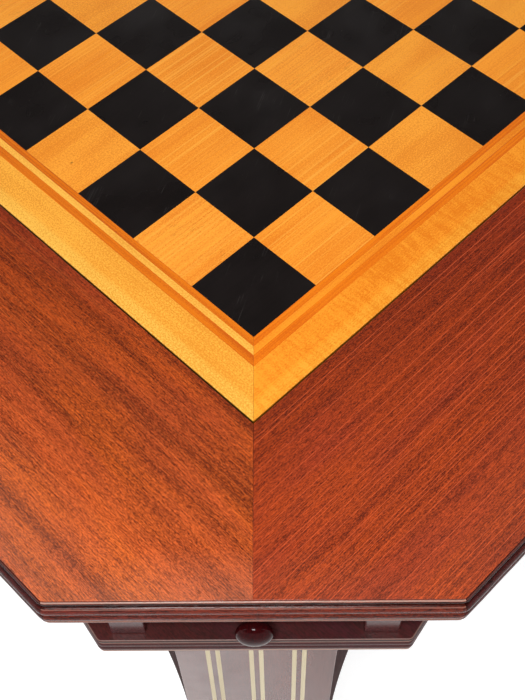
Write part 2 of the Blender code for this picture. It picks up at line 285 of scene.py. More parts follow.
def mahogany(name, light, dark, ribbon=0.5, lines=0.0, pores=0.8, roughness=0.30, coat=0.0,
             coat_roughness=0.06, specular=0.5, depth=0.00012, reeded=0.0, wear_and_highlight=0.0,
             rail=None, painted_reflection=0.0):
    """Ribbon-striped mahogany: soft bands, fine fibres, short dark pores and pale lines.

    reeded is how much painted shade darkens the grooves, wear_and_highlight how strong the painted
    highlights on arrises, bead tops and the bottom roll are, and rail (inner, middle, edge) how
    much painted shade darkens a rail of the top toward the board and the middle of its length, and
    how strong the painted reflection along its outer edge is. painted_reflection is how much
    painted grey reflection of the pale floor lies toward one side of a leg's face, mostly at its
    top.
    """
    wood = Recipe(name, roughness, coat, coat_roughness, specular)
    wander = wood.wandered((3.0, 14.0, 14.0), 0.006)
    band = wood.noise((5.5, 100.0, 85.0), 2.0, wander, 0.5)
    fibre = wood.noise((45.0, 1300.0, 900.0), 1.0, wander)
    thread = wood.noise((290.0, 2700.0, 2400.0), 1.0, wander)
    mottle = wood.noise((800.0, 1500.0, 1300.0), 1.0)
    pore = wood.noise((190.0, 2600.0, 2200.0), 0.0, wander)
    cast = wood.noise((11.0, 34.0, 30.0), 2.0)
    tone = wood.math("MULTIPLY", wood.window(band, 0.40, 0.66), ribbon)
    tone = wood.math("ADD", tone, wood.window(fibre, 0.32, 0.68, -0.20, 0.26))
    tone = wood.math("ADD", tone, wood.window(thread, 0.34, 0.66, -0.42, 0.46))
    tone = wood.math("ADD", tone, wood.window(mottle, 0.34, 0.66, -0.42, 0.42))
    red, green, blue, alpha = linear(*light)
    cool = (red * 0.84, green * 0.78, blue * 1.4, alpha)
    base = wood.mix(wood.window(cast, 0.42, 0.62, 0.0, 0.75), linear(*light), cool)
    colour = wood.mix(wood.window(tone, -0.6 if rail else -0.2, 1.0), base, linear(*dark))
    rough = wood.window(fibre, 0.3, 0.7, roughness - 0.04, roughness + 0.05)
    if rail:
        inner, middle, edge = rail
        low, high = local_box("top_rail_right")
        across = wood.axis(1)
        # Painted shade: darker toward the board and toward the middle of the rail's length, in
        # place of the sheen that brightens its ends near the corners.
        for factor in (wood.window(across, low.x, low.x + 0.085, inner, 0.0),
                       wood.window(wood.from_middle(), 0.04, 0.24, middle, 0.0)):
            colour = wood.mix(factor, colour, wood.scaled(colour, SHADE_TINT))
        # Painted reflection: a pale pinkish sheen along the outer edge and across the canted
        # corner.
        corner = local_box("top_rail_right", 45)[1].x * math.sqrt(2)
        slant = wood.math("ADD", across, wood.from_middle())
        painted_highlight = wood.math("MAXIMUM", wood.window(across, high.x - 0.050, high.x, 0.0, edge),
                           wood.window(slant, corner - 0.035, corner, 0.0, edge))
        colour = wood.mix(painted_highlight, colour, linear(172, 122, 102))
        colour = wood.specked(colour, (15.0, 19.0, 19.0), 0.010, 0.55, linear(214, 150, 120))
    if lines:
        streak = wood.noise((1.6, 1150.0, 200.0), 0.0)
        bright = [min(1.0, value * 1.5 + 0.02) for value in (red, green, blue)]
        factor = wood.window(streak, 0.62, 0.74, 0.0, lines)
        colour = wood.mix(factor, colour, (*bright, 1))
    pit = wood.window(pore, 0.60, 0.70, 0.0, pores)
    black = [value * 0.30 for value in linear(*dark)[:3]]
    colour = wood.mix(pit, colour, (*black, 1))
    if painted_reflection:
        # Painted reflection: a grey veil of the pale floor on the leg's face, stronger toward one
        # side and toward its top.
        grey_reflection = wood.window(wood.axis(1), -LEG_FOOT_HALF, LEG_FOOT_HALF, painted_reflection, 0.0)
        cloud = wood.noise((30.0, 40.0, 40.0), 2.0)
        grey_reflection = wood.math("MULTIPLY", grey_reflection, wood.window(cloud, 0.30, 0.60, 0.7, 1.1))
        grey_reflection = wood.math("MULTIPLY", grey_reflection, wood.window(wood.from_middle(), 0.38, 0.60, 0.3, 1.0))
        colour = wood.mix(grey_reflection, colour, linear(150, 136, 134))
    # Painted shade in the grooves, on the lip's lower face and along the bottom edge, and painted
    # highlights on the lip's arris, the bead tops and the bottom roll.
    if reeded:
        hollow = wood.hollow()
        colour = wood.dimmed(colour, wood.window(hollow, 0.0, 1.0, 1.0, 1 - reeded))
        colour = wood.mix(wood.window(hollow, -1.0, 0.0, wear_and_highlight, 0.0), colour,
                          linear(222, 184, 166))
    height = wood.math("SUBTRACT", wood.math("MULTIPLY", fibre, 0.5), pit)
    return wood.finish(colour, rough, height, depth, 0.35)


def pale_wood(name, light, dark, straight=0.5, ripple=0.0, roughness=0.30, speckle=0.35,
              fleck=0.0, lines=0.0, gap_shade=0.0):
    """Maple or satinwood: fine straight grain, silky speckle and, for maple, cross ripple.

    gap_shade is for the board's border: painted shade on its outer side, down in the gap, under a
    painted highlight along its outer top edge.
    """
    wood = Recipe(name, roughness, specular=0.4)
    wander = wood.wandered((4.0, 10.0, 10.0), 0.006)
    band = wood.noise((5.0, 60.0, 60.0), 2.0, wander)
    line = wood.noise((5.0, 950.0, 400.0), 1.0, wander)
    grit = wood.noise((850.0, 1500.0, 900.0), 1.0)
    cloud = wood.noise((14.0, 30.0, 26.0), 2.0)
    tone = wood.window(line, 0.34, 0.68, -0.5 * straight, 0.5 * straight)
    tone = wood.math("ADD", tone, wood.window(band, 0.35, 0.70, 0.10, 0.45))
    tone = wood.math("ADD", tone, wood.window(cloud, 0.35, 0.68, -0.05, 0.55))
    tone = wood.math("ADD", tone, wood.window(grit, 0.30, 0.70, -speckle, speckle))
    if ripple:
        wave = wood.noise((420.0, 70.0, 26.0), 2.0, wander)
        tone = wood.math("ADD", tone, wood.window(wave, 0.36, 0.64, -ripple, ripple))
    colour = wood.mix(wood.window(tone, 0.0, 1.0), linear(*light), linear(*dark))
    if lines:
        ray = wood.noise((2.5, 760.0, 400.0), 0.0)
        pale = [min(1.0, value * 1.3 + 0.03) for value in linear(*light)[:3]]
        colour = wood.mix(wood.window(ray, 0.58, 0.70, 0.0, lines), colour, (*pale, 1))
    if fleck:
        short = wood.noise((190.0, 1500.0, 900.0), 0.0)
        patch = wood.noise((45.0, 70.0, 60.0), 1.0)
        mark = wood.math("MULTIPLY", wood.window(short, 0.62, 0.72),
                         wood.window(patch, 0.50, 0.62, 0.0, fleck))
        brown = [value * 0.45 for value in linear(*dark)[:3]]
        colour = wood.mix(mark, colour, (*brown, 1))
    brown = [value * 0.30 for value in linear(*dark)[:3]]
    colour = wood.specked(colour, (20.0, 28.0, 28.0), 0.013, 0.75, (*brown, 1))
    if gap_shade:
        high = local_box("maple_border_right")[1]
        # Painted highlight along the border's outer top edge.
        painted_highlight = wood.window(wood.axis(1), high.x - 0.0095, high.x - 0.0060, 0.0, 1.0)
        colour = wood.mix(painted_highlight, colour, wood.scaled(colour, (1.0, 1.17, 1.50)))
        # Painted shade on the border's outer side, down in the gap below its top.
        colour = wood.dimmed(colour, wood.window(wood.axis(2), high.z - 0.0012,
                                                 high.z - 0.0007, 1 - gap_shade, 1.0))
    rough = wood.window(line, 0.3, 0.7, roughness - 0.03, roughness + 0.04)
    return wood.finish(colour, rough, line, 0.00006, 0.25)


def ebonised(name):
    """Black-stained veneer, with faint grain, hairline scratches and dust in the polish."""
    wood = Recipe(name, 0.28, specular=0.35)
    line = wood.noise((9.0, 420.0, 400.0), 2.0)
    cloud = wood.noise((25.0, 30.0, 30.0), 2.0)
    tone = wood.math("ADD", wood.window(line, 0.3, 0.7, 0.0, 0.6),
                     wood.window(cloud, 0.3, 0.7, 0.0, 0.4))
    colour = wood.mix(tone, linear(14, 9, 8), linear(22, 15, 14))
    turned = wood.add("ShaderNodeVectorRotate", rotation_type="Z_AXIS")
    wood.feed(turned.inputs["Vector"], wood.grain)
    turned.inputs["Angle"].default_value = math.radians(28)
    scratch = wood.noise((26.0, 1700.0, 400.0), 0.0, turned.outputs[0])
    where = wood.noise((60.0, 60.0, 60.0), 1.0)
    mark = wood.math("MULTIPLY", wood.window(scratch, 0.71, 0.76), wood.window(where, 0.55, 0.62))
    colour = wood.mix(wood.math("MULTIPLY", mark, 0.16), colour, linear(105, 100, 98))
    colour = wood.specked(colour, (70.0, 70.0, 70.0), 0.015, 0.4, linear(120, 116, 112))
    rough = wood.window(cloud, 0.3, 0.7, 0.24, 0.36)
    return wood.finish(colour, rough, line, 0.00005, 0.2)


def baize_cloth(name):
    """Short-napped green wool."""
    cloth = Recipe(name, 0.95, specular=0.2)
    nap = cloth.noise((900.0, 900.0, 900.0), 3.0, roughness=0.7)
    weave = cloth.noise((260.0, 1400.0, 1400.0), 2.0)
    wear_and_highlight = cloth.noise((12.0, 12.0, 12.0), 3.0)
    tone = cloth.math("ADD", cloth.window(nap, 0.3, 0.7, 0.0, 0.55),
                      cloth.window(weave, 0.3, 0.7, 0.0, 0.30))
    tone = cloth.math("ADD", tone, cloth.window(wear_and_highlight, 0.35, 0.7, 0.0, 0.25))
    colour = cloth.mix(cloth.window(tone, 0.0, 1.0), linear(14, 62, 36), linear(42, 112, 68))
    cloth.shader.inputs["Sheen Weight"].default_value = 0.35
    cloth.shader.inputs["Sheen Roughness"].default_value = 0.5
    return cloth.finish(colour, None, nap, 0.0006, 0.6)


def moulded_nylon(name):
    """Dark moulded plastic with a fine spark-eroded texture."""
    plastic = Recipe(name, 0.5)
    grit = plastic.noise((2500.0, 2500.0, 2500.0), 2.0)
    scuff = plastic.noise((120.0, 120.0, 400.0), 3.0)
    colour = plastic.mix(plastic.window(scuff, 0.45, 0.7), linear(40, 36, 33), linear(66, 61, 56))
    rough = plastic.window(scuff, 0.3, 0.7, 0.42, 0.6)
    return plastic.finish(colour, rough, grit, 0.0001, 0.4)


MATERIALS = {
    # The front and back rails are brighter and more orange than the side rails. This is partly
    # their own figure and partly painted sheen, which mahogany shows by its grain's direction to
    # the light.
    "rail_long": mahogany("rail_mahogany_bright", (234, 109, 40), (108, 42, 18),
                          ribbon=0.62, lines=0.12, pores=0.46, specular=0.3,
                          rail=(0.62, 0.80, 0.24)),
    "rail_cross": mahogany("rail_mahogany_red", (192, 76, 30), (94, 32, 17),
                           ribbon=0.36, lines=0.45, pores=0.36, specular=0.3,
                           rail=(0.36, 0.52, 0.06)),
    "edge": mahogany("moulding_mahogany", (112, 38, 21), (50, 15, 9), ribbon=0.5, pores=0.7,
                     roughness=0.24, coat=0.04, coat_roughness=0.20, specular=0.14,
                     depth=0.0002, reeded=0.94, wear_and_highlight=0.42),
    # The long sides' moulding is a darker copy of the corners' moulding: painted shade, since
    # those sides face away from the light.
    "edge_side": mahogany("moulding_mahogany_shaded", (78, 27, 20), (40, 13, 9), ribbon=0.4,
                          pores=0.7, roughness=0.22, specular=0.14, depth=0.0002,
                          reeded=0.80, wear_and_highlight=0.36),
    "tier": mahogany("tier_mahogany", (72, 26, 24), (46, 16, 14), ribbon=0.4, pores=0.4,
                     roughness=0.40, specular=0.32, reeded=0.8, wear_and_highlight=0.42),
    "dark": mahogany("dark_mahogany", (80, 28, 26), (50, 17, 16), ribbon=0.4, pores=0.4,
                     roughness=0.22, coat=0.06, coat_roughness=0.10, specular=0.35),
    "leg_face": mahogany("leg_mahogany", (104, 44, 30), (64, 26, 19), ribbon=0.5, pores=0.3,
                         roughness=0.20, specular=0.36, depth=0.00005, painted_reflection=0.52),
    # The leg's sides are a darker, almost unreflecting copy of the leg's mahogany: painted shade.
    "leg_side": mahogany("leg_side_mahogany", (58, 18, 12), (34, 10, 8), ribbon=0.4, pores=0.3,
                         roughness=0.70, specular=0.04),
    "knob": mahogany("knob_mahogany", (54, 8, 10), (34, 6, 8), ribbon=0.4, pores=0.2,
                     roughness=0.05, specular=0.10, depth=0.00001),
    "drawer": mahogany("drawer_mahogany", (76, 24, 22), (46, 14, 13), ribbon=0.4, pores=0.4,
                       roughness=0.28, specular=0.22),
    "maple_long": pale_wood("maple_plain", (252, 178, 66), (226, 144, 42), straight=0.3,
                            speckle=0.85, gap_shade=0.90),
    "maple_cross": pale_wood("maple_rippled", (250, 156, 42), (226, 122, 20), straight=0.3,
                             ripple=0.24, speckle=0.50, gap_shade=0.65),
    "string_line_long": pale_wood("inlay_maple", (254, 190, 80), (226, 150, 50), straight=0.3,
                                  speckle=0.45),
    "string_line_cross": pale_wood("inlay_maple_flamed", (248, 150, 36), (224, 118, 22),
                                   straight=0.9),
    "orange_long": pale_wood("orange_veneer", (224, 118, 18), (194, 88, 10), straight=0.9),
    "orange_cross": pale_wood("orange_veneer_plain", (236, 126, 18), (214, 100, 10),
                              straight=0.9),
    "light_square_lined": pale_wood("satinwood_lined", (250, 158, 50), (230, 128, 30),
                                    straight=0.4, speckle=0.50, lines=0.4),
    "light_square_plain": pale_wood("satinwood_plain", (252, 166, 56), (228, 132, 34),
                                    straight=0.3, speckle=0.65),
    "light_square_flecked": pale_wood("satinwood_flecked", (252, 164, 56), (230, 130, 34),
                                      straight=0.5, speckle=0.55, lines=0.25, fleck=0.35),
    "dark_square": ebonised("ebonised_veneer"),
    "leg_string": pale_wood("holly_string", (200, 184, 146), (182, 164, 124), straight=0.4),
    "baize": baize_cloth("green_baize"),
    "plain": pale_wood("drawer_wood", (190, 150, 104), (158, 116, 74), straight=0.8,
                       roughness=0.5),
    "nylon": moulded_nylon("brown_nylon"),
}


# Mesh helpers -----------------------------------------------------------------------------
PIECE_SHIFT = 0.9          # along the grain, between one piece's figure and the next one's
piece_count = 0


def store(mesh, name, kind, field, values):
    """Give every vertex of a mesh a named value."""
    mesh.attributes.new(name, kind, "POINT").data.foreach_set(field, values)


def new_piece(name, verts, faces, material, body, nodes=(), angle=0.0,
              grain="yxz", arris=0.0, smooth=30, hollows=()):
    """Make a piece from local geometry, turn it in place, and hang it on its CAD body.

    grain names the local axes that run along the grain, across it and into the piece.
    hollows gives, for each vertex, its painted shade from 0 to 1, or its painted highlight where
    negative.
    """
    global piece_count
    piece_count += 1
    mesh = bpy.data.meshes.new(name)
    mesh.from_pydata([tuple(vert) for vert in verts], [], faces)
    order = ["xyz".index(letter) for letter in grain]
    shift = PIECE_SHIFT * piece_count
    places = [[vert.co[axis] for axis in order] for vert in mesh.vertices]
    store(mesh, "grain", "FLOAT_VECTOR", "vector",
          [value for along, across, deep in places for value in (along + shift, across, deep)])
    store(mesh, "from_middle", "FLOAT", "value", [along for along, across, deep in places])
    if hollows:
        store(mesh, "hollow", "FLOAT", "value", hollows)
    mesh.materials.append(MATERIALS[material])
    mesh.shade_smooth()
    mesh.set_sharp_from_angle(angle=math.radians(smooth))
    obj = bpy.data.objects.new(name, mesh)
    obj.rotation_euler.z = math.radians(angle)
    bpy.context.scene.collection.objects.link(obj)
    if arris:
        bevel = obj.modifiers.new("arris", "BEVEL")
        bevel.width = arris
        bevel.segments = 3
        bevel.limit_method = "ANGLE"
        bevel.angle_limit = math.radians(35)
    obj.modifiers.new("normals", "WEIGHTED_NORMAL").keep_sharp = True
    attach(obj, body)
    if nodes:
        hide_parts(*nodes)
    return obj


def prism(outline, low, high):
    """Vertices and faces of an outline, (x, y) points anticlockwise, raised from low to high."""
    count = len(outline)
    verts = [(x, y, low) for x, y in outline] + [(x, y, high) for x, y in outline]
    faces = [tuple(reversed(range(count))), tuple(range(count, 2 * count))]
    for i in range(count):
        j = (i + 1) % count
        faces.append((i, j, count + j, count + i))
    return verts, faces


def block(low, high):
    """Vertices and faces of a box between two corners."""
    outline = [(low[0], low[1]), (high[0], low[1]), (high[0], high[1]), (low[0], high[1])]
    return prism(outline, low[2], high[2])


def loft(rings):
    """Vertices and faces that join closed rings of points, capped at both ends."""
    count = len(rings[0])
    verts = [point for ring in rings for point in ring]
    faces = []
    for ring in range(len(rings) - 1):
        low, high = ring * count, (ring + 1) * count
        for i in range(count):
            j = (i + 1) % count
            faces.append((low + i, low + j, high + j, high + i))
    faces.append(tuple(reversed(range(count))))
    faces.append(tuple(range(len(verts) - count, len(verts))))
    return verts, faces


def merged(shapes):
    """One shape from several (vertices, faces) shapes."""
    verts, faces = [], []
    for some_verts, some_faces in shapes:
        start = len(verts)
        verts += list(some_verts)
        faces += [tuple(start + i for i in face) for face in some_faces]
    return verts, faces


# Top --------------------------------------------------------------------------------------
# The reeded edge for a section 22.5 mm high, as in the CAD model: (centre below the top face,
# half height, reach beyond the veneer's edge) of two beads and the roll under them.
REED_HEIGHT = 0.0225
REEDS = ((0.0084, 0.0036, 0.0060), (0.0156, 0.0036, 0.0060), (0.0207, 0.0018, 0.0052))
REED_ROOT = 0.0026
LIP_REACH, LIP_RADIUS, LIP_DEPTH = 0.0040, 0.0014, 0.0026
LIP_UNDER_RADIUS = 0.0006  # of the lip's lower arris
LIP_ARRIS = 0.0005         # how far down the painted highlight on the lip's arris runs
MITRE_RADIUS = 0.0018      # of the lipping's rounded corners
TIER_LIP_REACH = 0.0056
TOP_HIGHLIGHTS = (1.0, 0.5, 0.15, 0.5)   # how strong the painted highlights on the lip's arris, two beads and the roll are
SIDE_HIGHLIGHTS = (0.15, 0.0, 0.9, 0.2)  # the same painted highlights, on the long sides
# The same painted highlights, on the tier's edge.
TIER_HIGHLIGHTS = (0.4, 0.7, 0.2, 1.0)
MITRE_TAN = math.tan(math.radians(22.5))
VENEER = 0.0006            # thickness of the top's veneer
VENEER_OVERLAP = 0.0024    # how far it runs out over the lipping


def reed_section(height, lip_reach=LIP_REACH):
    """(reach, drop) points down the reeded edge, with quirks that are rounded as cut."""
    points = []
    for step in range(9):
        turn = math.radians(90 - 90 * step / 8)
        points.append((lip_reach - LIP_RADIUS + LIP_RADIUS * math.cos(turn),
                       LIP_RADIUS - LIP_RADIUS * math.sin(turn)))
    for step in range(1, 5):
        turn = math.radians(-90 * step / 4)
        points.append((lip_reach - LIP_UNDER_RADIUS * (1 - math.cos(turn)),
                       LIP_DEPTH - LIP_UNDER_RADIUS * (1 + math.sin(turn))))
    points.append((REED_ROOT + 0.0002, LIP_DEPTH + 0.0001))
    for centre, half, reach in REEDS:
        steps = 16 if half > 0.003 else 10
        for step in range(steps + 1):
            turn = math.radians(90 - 180 * step / steps)
            point = (REED_ROOT + (reach - REED_ROOT) * math.cos(turn) ** 0.8 if 0 < step < steps
                     else REED_ROOT, centre - half * math.sin(turn))
            if math.dist(point, points[-1]) > 0.00005:
                points.append(point)
    scale = height / REED_HEIGHT
    return [(reach * scale, drop * scale) for reach, drop in points]


def painted_shading(reach, drop, height, painted_highlight):
    """Painted shade at a point of the section, from 0 to 1: in the grooves, on the lip's lower
    face and along the bottom edge.

    It is negative for a painted highlight: by the given amounts on the lip's arris,
    the tops of the two beads and the bottom roll.
    """
    scale = height / REED_HEIGHT
    arris, *beads, roll = painted_highlight
    place = drop / scale
    if place < LIP_ARRIS:
        return -arris * min(1.0, place / 0.0001)
    if place < LIP_DEPTH:
        return min(0.85, (place - LIP_ARRIS) / 0.0004)
    if place > REED_HEIGHT - 0.0009:
        return 1.0
    if REED_HEIGHT - 0.0033 < place < REED_HEIGHT - 0.0014:
        return -roll
    for (centre, half, _), pale in zip(REEDS, beads):
        if 0.74 * half < centre - place < 0.90 * half:
            return -pale
    open_reach, root = 0.0054 * scale, REED_ROOT * scale
    return min(1.0, max(0.0, (open_reach - reach) / (open_reach - root)))


def moulding(distance, half_length, top, height, seed, painted_highlight):
    """A length of reeded lipping whose ends curve round to the mitres."""
    wobble = random.Random(seed)
    section = reed_section(height)
    inside = [(0.0001, height), (0.0001, VENEER + 0.0001),
              (VENEER_OVERLAP + 0.0001, VENEER + 0.0001), (VENEER_OVERLAP + 0.0001, 0.0)]
    outline = inside + section + [(REED_ROOT, height)]
    straight = half_length - (LIP_REACH + MITRE_RADIUS) * MITRE_TAN
    arc_steps, span_length = 5, 0.012
    stations = [(-straight, math.radians(22.5 * step / arc_steps - 22.5))
                for step in range(arc_steps + 1)]
    spans = max(2, round(2 * straight / span_length))
    for step in range(1, spans):
        stations.append((-straight + 2 * straight * step / spans, 0.0))
    for step in range(arc_steps + 1):
        stations.append((straight, math.radians(22.5 * step / arc_steps)))
    rings = []
    centre = distance - MITRE_RADIUS
    for place, turn in stations:
        shake = [wobble.uniform(-0.00004, 0.00004) for _ in range(3)]
        ring = []
        for reach, drop in outline:
            edge = shake[0] + shake[1] * math.sin(drop * 900) if reach > 0.003 and not turn else 0
            radius = MITRE_RADIUS + reach + edge
            ring.append((centre + radius * math.cos(turn),
                         place + radius * math.sin(turn), top - drop))
        rings.append(ring)
    shading = [painted_shading(reach, drop, height, painted_highlight) for reach, drop in outline]
    return *loft(rings), shading * len(rings)


def rail_outline(inner, front, canted, seed):
    """One side of the mitred frame. The inner edge is slightly uneven, as a cut edge is."""
    wobble = random.Random(seed)
    open_joint, tight_joint = 0.00012, 0.00003
    corner_half = canted - front
    end = ((canted + tight_joint) / 2, (canted - tight_joint) / 2)
    upper = [(inner, inner - open_joint), end, (front, corner_half)]
    edge = []
    count = 60
    for step in range(1, count):
        place = (inner - open_joint) * (1 - 2 * step / count)
        edge.append((inner + wobble.uniform(-0.00006, 0.00010), place))
    lower = [(x, -y) for x, y in upper]
    return lower + upper[::-1] + edge


def build_top():
    """Mitred mahogany frame and the reeded lipping around it."""
    rail_low, rail_high = local_box("top_rail_right")
    side_half = local_box("edge_moulding_right")[1].y
    corner_half = local_box("edge_moulding_front_right", -45)[1].y
    inner, front = rail_low.x, rail_high.x
    canted_front = local_box("top_rail_right", 45)[1].x
    canted = canted_front * math.sqrt(2)
    top, height = rail_high.z, rail_high.z - rail_low.z
    slope_reach = (REEDS[0][2] - LIP_REACH) * MITRE_TAN
    for index, (side, angle) in enumerate(SIDES.items()):
        core = prism(rail_outline(inner, front, canted, 11 + index), rail_low.z, top - VENEER)
        wide = rail_outline(inner, front + VENEER_OVERLAP,
                            canted + VENEER_OVERLAP * math.sqrt(2), 11 + index)
        verts, faces = merged([core, prism(wide, top - VENEER, top)])
        figure = "rail_long" if side in ("front", "back") else "rail_cross"
        new_piece(f"rail_{side}", verts, faces, figure, "table",
                  [f"top_rail_{side}"], angle, arris=0.0002)
        half = side_half - slope_reach
        verts, faces, hollows = moulding(front, half, top, height, 31 + index, SIDE_HIGHLIGHTS)
        new_piece(f"lipping_{side}", verts, faces, "edge_side", "table",
                  [f"edge_moulding_{side}"], angle, hollows=hollows)
    for index, (corner, angle) in enumerate(CORNERS.items()):
        half = corner_half - slope_reach
        verts, faces, hollows = moulding(canted_front, half, top, height, 41 + index,
                                         TOP_HIGHLIGHTS)
        new_piece(f"lipping_{corner}", verts, faces, "edge", "table",
                  [f"edge_moulding_{corner}"], angle, hollows=hollows)


# Board ------------------------------------------------------------------------------------
LIGHT_FIGURES = ("light_square_lined", "light_square_plain", "light_square_flecked")
BORDER_ROUND = 0.0006      # of the board's outer top edge
BORDER_JOINT, STRIP_JOINT, BAND_JOINT = 0.00008, 0.00005, 0.00003


def border_strip(inner, outer, low, high):
    """A mitred strip of the board's border, with its outer top edge rounded."""
    section = [(inner, low), (inner, high)]
    for step in range(5):
        turn = math.radians(90 - 90 * step / 4)
        section.append((outer - BORDER_ROUND * (1 - math.cos(turn)),
                        high - BORDER_ROUND * (1 - math.sin(turn))))
    section.append((outer, low))
    return loft([[(x, hand * (x - BORDER_JOINT), z) for x, z in section] for hand in (-1, 1)])


def mitred_strip(low, high):
    """One of four strips around a square, between two distances from its centre."""
    return [(low, STRIP_JOINT - low), (high, STRIP_JOINT - high),
            (high, high - STRIP_JOINT), (low, low - STRIP_JOINT)]


def build_board():
    """Maple frame, three inlaid bands of four strips each, sixty-four squares and baize."""
    veneer_low, veneer_high = local_box("chequer_field")
    border_low, border_high = local_box("maple_border_right")
    inner = local_box("inlay_band_outer")[1].x
    for side, angle in SIDES.items():
        verts, faces = border_strip(inner, border_high.x, border_low.z, border_high.z)
        figure = "maple_long" if side in ("front", "back") else "maple_cross"
        new_piece(f"border_{side}", verts, faces, figure, "game_board",
                  [f"maple_border_{side}"], angle)
    bands = (("inlay_band_inner", "orange", "orange_veneer"),
             ("inlay_line", "string_line", "maple"),
             ("inlay_band_outer", "orange", "orange_veneer"))
    low = veneer_high.x + STRIP_JOINT
    for node, figure, slot in bands:
        high = local_box(node)[1].x
        for side, angle in SIDES.items():
            verts, faces = prism(mitred_strip(low, high - BAND_JOINT), veneer_low.z, veneer_high.z)
            nodes = [node] if side == "front" else []
            cut = "long" if side in ("front", "back") else "cross"
            new_piece(f"{node}_{side}", verts, faces, f"{figure}_{cut}", "game_board",
                      nodes, angle, arris=0.00004)
        low = high + BAND_JOINT
    size = veneer_high.x / 4
    pick = random.Random(5)
    for column in range(8):
        for row in range(8):
            x, y = (column - 4) * size, (row - 4) * size
            verts, faces = block((x + BAND_JOINT, y + BAND_JOINT, veneer_low.z),
                                 (x + size - BAND_JOINT, y + size - BAND_JOINT,
                                  veneer_high.z))
            dark = (column + row) % 2 == 1
            figure = "dark_square" if dark else pick.choice(LIGHT_FIGURES)
            new_piece(f"square_{'abcdefgh'[column]}{row + 1}", verts, faces, figure,
                      "game_board",
                      ["chequer_field"] if column == row == 0 else [], arris=0.00004)
    verts, faces = block(*local_box("board_core"))
    new_piece("board_panel", verts, faces, "plain", "game_board", ["board_core"])
    verts, faces = block(*local_box("board_baize"))
    new_piece("board_underside_baize", verts, faces, "baize", "game_board",
              ["board_baize"], arris=0.0005)


# Well, tier and blocks --------------------------------------------------------------------
TIER_HOLLOW = 0.0240       # how far the middle of a long side is hollowed
TIER_CORNER_RADIUS = 0.0042


def rounded(points, radius):
    """Round the corners of a closed polygon that turn by more than 20 degrees."""
    result = []
    steps = 6
    count = len(points)
    for i, point in enumerate(points):
        before, after = Vector(points[i - 1]), Vector(points[(i + 1) % count])
        here = Vector(point)
        way_in, way_out = (here - before).normalized(), (after - here).normalized()
        turn = way_in.angle_signed(way_out, 0)
        if abs(turn) < math.radians(20):
            result.append(here)
            continue
        tangent = radius * math.tan(abs(turn) / 2)
        start = here - way_in * tangent
        side = Vector((-way_in.y, way_in.x)) * (-1 if turn > 0 else 1)
        centre = start + side * radius
        for step in range(steps + 1):
            spin = Matrix.Rotation(-turn * step / steps, 2)
            result.append(centre + spin @ (start - centre))
    return result


def tier_path(front, corner_half, hollow, radius):
    """Points anticlockwise around the tier's full outline, its corners rounded."""
    start = front * math.sqrt(2) - corner_half
    arc_radius = (corner_half ** 2 + hollow ** 2) / (2 * hollow)
    centre = start - hollow + arc_radius
    sweep = math.asin(corner_half / arc_radius)
    steps = 24
    points = []
    for angle in SIDES.values():
        spin = Matrix.Rotation(math.radians(angle), 2)
        for step in range(steps + 1):
            turn = sweep * (2 * step / steps - 1)
            point = Vector((centre - arc_radius * math.cos(turn), arc_radius * math.sin(turn)))
            points.append(spin @ point)
    return rounded(points, radius)


def tier_corner_half():
    """Half the length of a long side of the tier, measured at its corners."""
    points = [vert.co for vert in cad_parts["lower_tier"].data.vertices]
    reach = max(point.x for point in points)
    return max(abs(point.y) for point in points if point.x > reach - 0.0001)


def build_tier():
    """The hollow-sided lower tier with the reeded edge worked on it."""
    low, high = local_box("lower_tier")
    front = local_box("lower_tier", 45)[1].x
    path = tier_path(front, tier_corner_half(), TIER_HOLLOW, TIER_CORNER_RADIUS)
    count = len(path)
    normals = []
    for i in range(count):
        along = (path[(i + 1) % count] - path[i - 1]).normalized()
        normals.append(Vector((along.y, -along.x)))
    height = high.z - low.z
    section = reed_section(height, TIER_LIP_REACH)
    furthest = max(reach for reach, drop in section)
    section.append((section[-1][0] - 0.0002, height))
    rings, hollows = [], []
    for reach, drop in reversed(section):
        inset = furthest - reach
        rings.append([(*(point - normal * inset), high.z - drop)
                      for point, normal in zip(path, normals)])
        hollows += [painted_shading(reach, drop, height, TIER_HIGHLIGHTS)] * count
    verts, faces = loft(rings)
    new_piece("tier", verts, faces, "tier", "table", ["lower_tier"],
              grain="xyz", hollows=hollows)


def build_well():
    """Four walls that carry the board, with baize on the floor between them."""
    low, high = local_box("well_wall_right")
    for side, angle in SIDES.items():
        verts, faces = prism(mitred_strip(low.x, high.x), low.z, high.z)
        new_piece(f"well_side_{side}", verts, faces, "dark", "table",
                  [f"well_wall_{side}"], angle, arris=0.0006)
    verts, faces = block(*local_box("well_lining"))
    new_piece("well_baize", verts, faces, "baize", "table", ["well_lining"],
              arris=0.0005)


def build_blocks():
    """Polished spacer blocks between tier and top, and the drawers' stop blocks."""
    for corner, angle in CORNERS.items():
        for hand in "ab":
            node = f"spacer_block_{corner}_{hand}"
            verts, faces = block(*local_box(node, angle))
            new_piece(f"block_{corner}_{hand}", verts, faces, "dark", "table",
                      [node], angle, grain="xyz", arris=0.0009)
        node = f"drawer_stop_{corner}"
        verts, faces = block(*local_box(node, angle))
        new_piece(f"stop_{corner}", verts, faces, "plain", "table", [node],
                  angle, arris=0.0006)


# Drawers ----------------------------------------------------------------------------------
KNOB_NECK = 0.0036         # radius of the stem behind the knob's head
KNOB_HEAD = 0.0118         # thickness of the head
TRAY_WALL, TRAY_FLOOR, TRAY_JOINT = 0.006, 0.004, 0.0001


